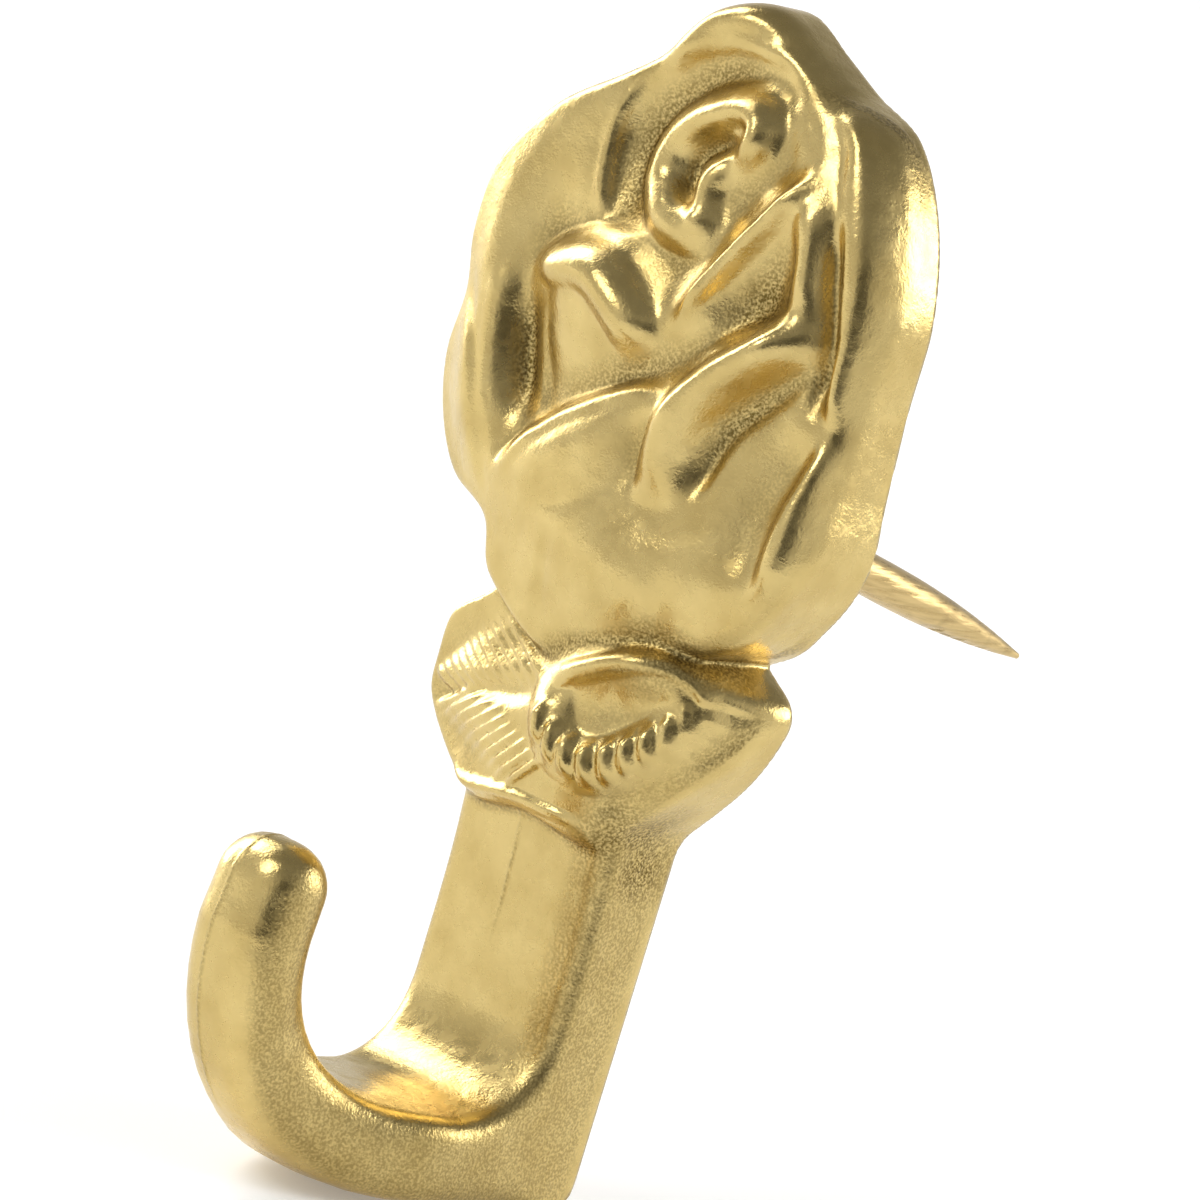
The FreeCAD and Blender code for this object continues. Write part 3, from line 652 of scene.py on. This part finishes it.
def smooth_max(a, b, reach):
    """Larger of two values, rounded where they are within reach of each other."""
    near = np.maximum(reach - np.abs(a - b), 0) / reach
    return np.maximum(a, b) + near ** 2 * reach / 4


def smooth_min(a, b, reach):
    """Smaller of two values, rounded where they are within reach of each other."""
    return -smooth_max(-a, -b, reach)


def gap_to(point, across, depth, up):
    """Distance of each place from a point (across, depth, up)."""
    return np.sqrt((across - point[0]) ** 2 + (depth - point[1]) ** 2 + (up - point[2]) ** 2)


def arc(centre, radius, start, end, steps=14):
    """Points (depth, up) on an arc; 0 degrees looks out of the wall and 90 looks up."""
    angles = np.radians(np.linspace(start, end, steps))
    return [(centre[0] + radius * math.cos(a), centre[1] + radius * math.sin(a)) for a in angles]


def hook_profile():
    """Side view of shank and J as a closed loop of (depth, up)."""
    floor = HOOK_THICKNESS - HOOK_DROP
    heel = (SHANK_DEPTH + HEEL_BEND, floor + HEEL_BEND)
    bend = (HOOK_REACH - HOOK_THICKNESS - TIP_BEND, floor + TIP_BEND)
    tip = (HOOK_REACH - TIP_ROUND - TIP_LEAN, TIP_TOP - TIP_ROUND)
    loop = [(0.0, NECK_TOP)]
    loop += arc((HEEL_ROUND, HEEL_ROUND - HOOK_DROP), HEEL_ROUND, 180, 270)
    loop += arc(bend, TIP_BEND + HOOK_THICKNESS, 270, 360)
    loop += arc(tip, TIP_ROUND, 0, 180)
    loop += arc(bend, TIP_BEND, 360, 270)
    loop += arc(heel, HEEL_BEND, 270, 180)
    for share in (0.0, 0.25, 0.5, 0.75, 1.0):
        rise = NECK_END + (NECK_FULL - NECK_END) * share
        loop.append((SHANK_DEPTH + (NECK_DEPTH - SHANK_DEPTH) * share ** 2, rise))
    loop.append((NECK_DEPTH, NECK_TOP))
    return np.array(loop)


class Casting:
    """The whole casting as one function that is negative inside the metal."""

    def __init__(self):
        self.rose, heights, self.rose_outline = self.sheet(ROSE_OUTLINE, ROSE_LINES)
        heights = stroked(self.rose, heights, ROSE_BEADS, ROSE_GROOVES, ROSE_OVERLAPS)
        self.rose_height = blurred(heights, STROKE_BLUR / SHEET_PITCH)
        self.collar, heights, self.collar_outline = self.sheet(COLLAR_OUTLINE, COLLAR_LINES)
        heights = stroked(self.collar, heights, COLLAR_BEADS, COLLAR_GROOVES, COLLAR_OVERLAPS)
        fine = {**hatched(COLLAR_HATCHES), **fanned(COLLAR_FANS)}
        self.collar_height = stroked(self.collar, heights, fine, {}, {})
        self.rose_steep = self.steepness(self.rose, self.rose_height)
        self.collar_steep = self.steepness(self.collar, self.collar_height)
        self.profile = hook_profile()

    @staticmethod
    def sheet(outline, lines):
        """Carved sheet inside an outline, its heights, and distance to the outline."""
        edge = rounded_loop(outline)
        sheet, heights = carved(lines, np.vstack([edge, edge[:1]]))
        return sheet, heights, signed_distance(sheet.across, sheet.up, edge[:, :2])

    @staticmethod
    def steepness(sheet, heights):
        """Distance from the surface for each step in depth: 1 where it is level and less on slopes."""
        slope = np.gradient(heights, sheet.pitch)
        return 1 / np.sqrt(1 + slope[0] ** 2 + slope[1] ** 2)

    @staticmethod
    def relief(sheet, heights, steep, outline, across, depth, up):
        """Value of one carved form: its front, rounded into the walls of its outline."""
        front = (depth - sheet.read(heights, across, up)) * sheet.read(steep, across, up)
        rim = np.maximum(np.interp(across, *RIM_ACROSS), np.interp(up, *RIM_UP))
        return smooth_max(front, sheet.read(outline, across, up), rim)

    def shade_and_grain(self, across, depth, up):
        """Share from 0 to 1 of painted shade and grain at each place: painted shade in hollows, creases and
        on the hook's flanks, and the grain of the poured patch and the seam.
        """
        x, d, z, radius = POURED
        poured = np.clip(POURED_FULL - POURED_FULL * gap_to((x, d, z), across, depth, up) / radius, 0, 1)
        return np.maximum.reduce([poured, self.hollow(across, depth, up), self.flank(across, depth, up),
                                  self.crease(across, depth, up)])

    def hollow(self, across, depth, up):
        """How far a place on the front lies in a hollow of the relief, where painted shade darkens it."""
        hollow = np.zeros(len(across))
        for sheet, heights in ((self.rose, self.rose_height), (self.collar, self.collar_height)):
            around = blurred(heights, RECESS_REACH / SHEET_PITCH)
            sunk = sheet.read(around - heights, across, up) / RECESS_DEPTH
            front = np.abs(depth - sheet.read(heights, across, up)) < FRONT_NEAR
            hollow = np.maximum(hollow, np.clip(sunk - RECESS_START, 0, 1) * front)
        return hollow

    def flank(self, across, depth, up):
        """Painted shade on the hook's side faces and round their edges, and its seam, away from the flat
        back.
        """
        below = np.clip((FLANK_TOP - up) / FLANK_RUN, 0, 1) * np.clip((depth - BACK_PLAIN) / BACK_FADE, 0, 1)
        side = np.clip((np.abs(across) - self.half_width(depth) + FLANK_REACH) / FLANK_FADE, 0, 1)
        return FLANK_SHARE * below * np.maximum(side, self.seam(across, depth, up))

    def crease(self, across, depth, up):
        """How near a place is to two of the three forms at once, where painted shade darkens the crease."""
        second = np.sort(self.parts(across, depth, up), axis=0)[1]
        reach = np.interp(across, CREASE_ACROSS, CREASE_REACH)
        return np.clip(1 - second / reach, 0, 1) * np.clip(depth - FRONT_START, 0, 1)

    @staticmethod
    def seam(across, depth, up):
        """The mould's seam, from 0 to 1: on the shank's front under the leaves and on the J's limb."""
        neck = np.clip((up - SEAM_LOW) / SEAM_RUN, 0, 1) * np.clip(depth - FRONT_START, 0, 1)
        limb = np.clip(depth - SEAM_LIMB, 0, 1)
        return np.maximum(neck, limb) * np.exp(-((across - SEAM_PLACE) / SEAM_HALF) ** 2)

    @staticmethod
    def half_width(depth):
        """Half the hook's width, which narrows towards the tip."""
        taper = np.clip((depth - TAPER_START) / TAPER_RUN, 0, 1)
        return SHANK_WIDTH / 2 - (SHANK_WIDTH - TIP_WIDTH) / 2 * eased(taper)

    def hook(self, across, depth, up):
        """Value of shank and J: the side view with crowned faces, cut to width and rounded at the edges."""
        half = self.half_width(depth)
        side = signed_distance(depth, up, self.profile)
        finger = np.clip((depth - FINGER_START) / FINGER_RUN, 0, 1)
        crown = (FACE_CROWN + (TIP_CROWN - FACE_CROWN) * finger) * np.clip(depth / SHANK_DEPTH, 0, 1)
        edge = (HOOK_EDGE + (TIP_EDGE - HOOK_EDGE) * finger) * np.clip(depth / SHANK_DEPTH, BACK_EDGE, 1)
        seam = SEAM_HEIGHT * self.seam(across, depth, up)
        return smooth_max(side + crown * (across / half) ** 2 - seam, np.abs(across) - half, edge)

    def parts(self, across, depth, up):
        """Values of the rose, the collar and the hook at each place."""
        rose = self.relief(self.rose, self.rose_height, self.rose_steep, self.rose_outline, across, depth, up)
        collar = self.relief(self.collar, self.collar_height, self.collar_steep, self.collar_outline,
                             across, depth, up)
        return rose, collar, self.hook(across, depth, up)

    def __call__(self, across, depth, up):
        rose, collar, hook = self.parts(across, depth, up)
        body = smooth_min(smooth_min(rose, collar, COLLAR_JOIN), hook, HOOK_JOIN)
        for *point, radius in PITS:
            body = smooth_max(body, radius - gap_to(point, across, depth, up), PIT_EDGE)
        return smooth_max(body, -depth, BACK_EDGE_ROUND)


def crossed_cells(inside, corners):
    """Cells of a grid that the surface crosses, and the number of each in the grid of cells."""
    wide, deep, tall = shape = np.array(inside.shape) - 1
    count = sum(inside[i:i + wide, j:j + deep, k:k + tall].astype(np.int8) for i, j, k in corners)
    cells = np.argwhere((count > 0) & (count < len(corners)))
    index = np.full(shape, -1)
    index[tuple(cells.T)] = np.arange(len(cells))
    return cells, index


def cell_spots(value, cells, corners):
    """Mean of the crossings on the edges of each cell, in steps of the grid."""
    total = np.zeros((len(cells), 3))
    number = np.zeros(len(cells))
    for first in corners:
        for axis in range(3):
            if first[axis]:
                continue
            second = list(first)
            second[axis] = 1
            a = value[tuple((cells + first).T)]
            b = value[tuple((cells + second).T)]
            cut = (a < 0) != (b < 0)
            share = np.where(cut, a / np.where(cut, a - b, 1), 0)
            spot = np.array(first) + np.zeros((len(cells), 3))
            spot[:, axis] = share
            total += spot * cut[:, None]
            number += cut
    return cells + total / number[:, None]


def crossing_quads(inside, index, axis):
    """Quads round the grid's edges along one axis that cross the surface, facing outwards."""
    ahead = np.moveaxis(inside, axis, 0)
    spots = np.argwhere(np.moveaxis(ahead[:-1] != ahead[1:], 0, axis))
    other = [a for a in range(3) if a != axis]
    ends = np.array(index.shape)[other]
    spots = spots[(spots[:, other] > 0).all(1) & (spots[:, other] < ends).all(1)]
    ring = []
    for da, db in ((0, 0), (1, 0), (1, 1), (0, 1)):
        near = spots.copy()
        near[:, other[0]] -= da
        near[:, other[1]] -= db
        ring.append(index[tuple(near.T)])
    ring = np.stack(ring, 1)
    turned = inside[tuple(spots.T)]
    if axis == 1:
        turned = ~turned
    ring[turned] = ring[turned][:, ::-1]
    return ring


def surface_net(solid, axes):
    """Quad mesh on the zero surface of a function, one vertex for each cell that it crosses."""
    value = solid(axes[0][:, None, None], axes[1][None, :, None], axes[2][None, None, :])
    value = value.astype(np.float32)
    inside = value < 0
    corners = [(i, j, k) for i in (0, 1) for j in (0, 1) for k in (0, 1)]
    cells, index = crossed_cells(inside, corners)
    spots = cell_spots(value, cells, corners)
    points = np.stack([np.interp(spot, np.arange(len(a)), a) for spot, a in zip(spots.T, axes)], 1)
    return points, np.vstack([crossing_quads(inside, index, axis) for axis in range(3)])


def pulled_on(solid, points, rounds=3, reach=0.02, least=0.25, stride=0.1):
    """Move mesh points onto the exact surface along its slope, in short strides."""
    for _ in range(rounds):
        here = solid(*points.T)
        slope = np.stack([(solid(*(points + move).T) - solid(*(points - move).T)) / (2 * reach)
                          for move in np.eye(3) * reach], 1)
        size = np.maximum((slope ** 2).sum(1), least)
        points = points - np.clip(here / size, -stride, stride)[:, None] * slope
    return points


def mesh_object(name, points, faces):
    """Smooth shaded object from points in millimetres."""
    mesh = bpy.data.meshes.new(name)
    mesh.from_pydata(points * MM, [], faces.tolist())
    mesh.update()
    mesh.shade_smooth()
    piece = bpy.data.objects.new(name, mesh)
    bpy.context.scene.collection.objects.link(piece)
    return piece


def grid_axes():
    """Places of the grid's nodes across, in depth and up, closer together where the carving is fine."""
    low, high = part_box("hook_casting")
    margin = 2 * SHANK_PITCH
    across = np.concatenate([np.arange(low.x / MM - margin, SEAM_PLACE - SEAM_GAP, LEFT_PITCH),
                             np.arange(SEAM_PLACE - SEAM_BAND, SEAM_PLACE + SEAM_BAND, SEAM_PITCH),
                             np.arange(SEAM_PLACE + SEAM_GAP, high.x / MM + margin, CARVED_PITCH)])
    depth = np.arange(-high.y / MM - margin, -low.y / MM + margin, CARVED_PITCH)
    up = np.concatenate([np.arange(low.z / MM - margin, COLLAR_LOW, SHANK_PITCH),
                         np.arange(COLLAR_LOW, COLLAR_HIGH, COLLAR_PITCH),
                         np.arange(COLLAR_HIGH, high.z / MM + margin, CARVED_PITCH)])
    return [across, depth, up]


def casting_piece():
    """The casting as one closed mesh."""
    solid = Casting()
    points, quads = surface_net(solid, grid_axes())
    points = pulled_on(solid, points)
    places = np.column_stack([points[:, 0], -points[:, 1], points[:, 2]])
    piece = mesh_object("rose_hook", places, quads)
    # Mask of painted shade in hollows, creases and on the flanks, and of grain in the poured patch and the
    # seam.
    shade_and_grain = piece.data.attributes.new("shade_and_grain", "FLOAT", "POINT")
    shade_and_grain.data.foreach_set("value", solid.shade_and_grain(*points.T))
    plain_back(piece.data)
    return piece


def plain_back(mesh):
    """Let the flat back be one face, not a net."""
    net = bmesh.new()
    net.from_mesh(mesh)
    flat = {v for v in net.verts if abs(v.co.y) < FLAT_NEAR}
    inner = [v for v in net.verts if v in flat and all(e.other_vert(v) in flat for e in v.link_edges)]
    core = set(inner)
    edges = [e for e in net.edges if not core.isdisjoint(e.verts)]
    bmesh.ops.dissolve_limit(net, angle_limit=FLAT_BEND, verts=inner, edges=edges)
    net.to_mesh(mesh)
    net.free()


class Nodes:
    """Short way to add and join the nodes of one shader tree."""

    def __init__(self, tree):
        self.tree = tree

    def add(self, kind, sockets=None, **settings):
        """New node with its settings, and values or links for its sockets."""
        node = self.tree.nodes.new(kind)
        for key, value in settings.items():
            setattr(node, key, value)
        for key, value in (sockets or {}).items():
            self.put(node, key, value)
        return node

    def put(self, node, key, value):
        """Set a socket to a value or join it to another node's socket."""
        if isinstance(value, bpy.types.NodeSocket):
            self.tree.links.new(value, node.inputs[key])
        else:
            node.inputs[key].default_value = value

    def noise(self, size, detail=3.0, stretch=(1, 1, 1)):
        """Noise with features of about a size in millimetres."""
        place = self.add("ShaderNodeTexCoord").outputs["Object"]
        spread = self.add("ShaderNodeMapping", {"Vector": place, "Scale": stretch})
        texture = self.add("ShaderNodeTexNoise", {"Vector": spread.outputs[0], "Scale": 1 / (size * MM),
                                                  "Detail": detail})
        return texture.outputs["Fac"]

    def math(self, operation, a, b):
        """Result of a sum on two values."""
        return self.add("ShaderNodeMath", {0: a, 1: b}, operation=operation).outputs[0]

    def mix(self, share, a, b):
        """Colour between two colours."""
        node = self.add("ShaderNodeMix", {0: share, 6: a, 7: b}, data_type="RGBA")
        return node.outputs[2]

    def scale(self, value, low, high, to_low=0.0, to_high=1.0, **settings):
        """Value moved from one range to another, and held at its ends."""
        node = self.add("ShaderNodeMapRange", {0: value, 1: low, 2: high, 3: to_low, 4: to_high}, **settings)
        return node.outputs[0]

    def bump(self, height, distance, under=None):
        """Normal bent by a height, over another bump where there is one."""
        node = self.add("ShaderNodeBump", {"Height": height, "Distance": distance * MM})
        if under:
            self.put(node, "Normal", under)
        return node.outputs[0]


def new_material(name):
    """Material, its nodes and its shader."""
    material = bpy.data.materials.new(name)
    material.use_nodes = True
    nodes = Nodes(material.node_tree)
    return material, nodes, nodes.tree.nodes["Principled BSDF"]


def plated_brass():
    """Bright plating over a cast surface that is grainy, with painted shade darkening its hollows, creases
    and flanks.
    """
    material, nodes, shader = new_material("plated brass")
    shade_and_grain = nodes.add("ShaderNodeAttribute", attribute_name="shade_and_grain").outputs["Fac"]
    grain = nodes.noise(GRAIN_SIZE)
    cloud = nodes.noise(CLOUD_SIZE)
    patch = nodes.noise(PATCH_SIZE, PATCH_DETAIL)
    # Painted shade: grain-speckled darkening towards the dark colour where the mask is high; in the poured
    # patch it is grain.
    shade_and_grain_share = nodes.math("MULTIPLY", shade_and_grain, nodes.scale(grain, *GRAIN_PART))
    plate = nodes.mix(nodes.scale(cloud, *CLOUD_PART), PLATE_PALE, PLATE_DEEP)
    rough = nodes.scale(patch, *MIDDLE_PART, *PLATE_ROUGH)
    dents = nodes.bump(nodes.noise(DENT_SIZE), DENT_BUMP)
    height = nodes.math("MULTIPLY", grain, nodes.scale(shade_and_grain, 0, 1, *GRAIN_SHARE))
    nodes.put(shader, "Base Color", nodes.mix(shade_and_grain_share, plate, PLATE_SHADE_AND_GRAIN))
    nodes.put(shader, "Metallic", 1.0)
    nodes.put(shader, "Roughness", nodes.math("ADD", rough, nodes.math("MULTIPLY", shade_and_grain, DULL_ROUGH)))
    nodes.put(shader, "Normal", nodes.bump(height, GRAIN_BUMP, dents))
    return material


def drawn_metal():
    """Browner metal of the pin, with fine lines along its length."""
    material, nodes, shader = new_material("drawn pin metal")
    lines = nodes.noise(LINE_SIZE, stretch=LINE_STRETCH)
    cloud = nodes.noise(PIN_CLOUD_SIZE)
    colour = nodes.mix(nodes.scale(lines, *LINE_PART), PIN_DEEP, PIN_PALE)
    dark = nodes.scale(cloud, *PIN_CLOUD_PART, *PIN_CLOUD_SHARE)
    nodes.put(shader, "Base Color", nodes.mix(dark, colour, PIN_DARK))
    nodes.put(shader, "Metallic", 1.0)
    nodes.put(shader, "Roughness", nodes.scale(lines, *MIDDLE_PART, *PIN_ROUGH))
    nodes.put(shader, "Normal", nodes.bump(lines, LINE_BUMP))
    return material


def pale_paper():
    """Paper that is filled up to white where it is seen or mirrored."""
    material, nodes, shader = new_material("floor")
    path = nodes.add("ShaderNodeLightPath")
    seen = path.outputs["Is Camera Ray"]
    for ray in ("Is Glossy Ray", "Is Transmission Ray"):
        seen = nodes.math("MAXIMUM", seen, path.outputs[ray])
    nodes.put(shader, "Base Color", PAPER)
    nodes.put(shader, "Roughness", PAPER_ROUGH)
    nodes.put(shader, "Specular IOR Level", PAPER_SHINE)
    nodes.put(shader, "Emission Color", WHITE)
    nodes.put(shader, "Emission Strength", nodes.math("MULTIPLY", seen, FLOOR_FILL))
    return material


def floor_piece():
    """Floor of paper under the hook that bends down a little in front."""
    low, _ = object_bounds()
    ahead = np.array(FLOOR_AHEAD)
    sideways = np.array([-ahead[1], ahead[0]])
    bends = np.linspace(0, BEND_LENGTH, BEND_STOPS)
    points = []
    for run in (-FLOOR_HALF, *(BEND_START + bends), FLOOR_HALF):
        past = max(run - BEND_START, 0)
        bent = min(past, BEND_LENGTH)
        drop = FLOOR_SLOPE * (past - bent + bent ** 2 / (2 * BEND_LENGTH))
        for side in (-FLOOR_HALF, FLOOR_HALF):
            points.append((*(ahead * run + sideways * side), low.z - FLOOR_GAP - drop))
    mesh = bpy.data.meshes.new("floor")
    mesh.from_pydata(points, [], [(k, k + 2, k + 3, k + 1) for k in range(0, len(points) - 2, 2)])
    floor = bpy.data.objects.new("floor", mesh)
    bpy.context.scene.collection.objects.link(floor)
    floor.data.materials.append(pale_paper())


def lamp(name, place, size, power):
    """Softbox that looks at the hook."""
    light = bpy.data.lights.new(name, "AREA")
    light.energy = power
    light.shape = "RECTANGLE"
    light.size, light.size_y = size
    piece = bpy.data.objects.new(name, light)
    piece.location = place
    piece.rotation_euler = (-Vector(place)).to_track_quat("-Z", "Y").to_euler()
    bpy.context.scene.collection.objects.link(piece)


def camera():
    """The photograph's camera."""
    right, up, back = camera_axes()
    data = bpy.data.cameras.new("camera")
    data.sensor_width = CAMERA_SENSOR
    data.lens = CAMERA_FOCUS / PICTURE * CAMERA_SENSOR
    data.clip_start, data.clip_end = CAMERA_CLIP
    piece = bpy.data.objects.new("camera", data)
    spot = (CAMERA_TARGET + back * CAMERA_DISTANCE) * MM
    axes = Matrix([right, up, back]).transposed().to_4x4()
    piece.matrix_world = Matrix.Translation(Vector(spot)) @ axes
    bpy.context.scene.collection.objects.link(piece)
    bpy.context.scene.camera = piece


def world():
    """Studio walls, pale low down and darker overhead and on one side."""
    scene = bpy.context.scene
    scene.view_settings.view_transform = "Standard"
    scene.world = bpy.data.worlds.new("studio")
    scene.world.use_nodes = True
    nodes = Nodes(scene.world.node_tree)
    way = nodes.add("ShaderNodeTexCoord").outputs["Generated"]
    levels = []
    for axis, start, end, dark in DARK_WAYS.values():
        along = nodes.add("ShaderNodeVectorMath", {0: way, 1: axis}, operation="DOT_PRODUCT").outputs["Value"]
        levels.append(nodes.scale(along, start, end, 1.0, dark, interpolation_type="SMOOTHSTEP"))
    walls = nodes.tree.nodes["Background"]
    nodes.put(walls, "Color", WHITE)
    nodes.put(walls, "Strength", nodes.math("MULTIPLY", nodes.math("MULTIPLY", *levels), WALL_LIGHT))


hook = casting_piece()
hook.data.materials.append(plated_brass())
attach(hook, "root")
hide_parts("hook_casting")
pin = frame["nodes"]["wall_pin"]
pin.data.materials.clear()
pin.data.materials.append(drawn_metal())
floor_piece()
for name, (place, size, power) in LAMPS.items():
    lamp(name, place, size, power)
camera()
world()
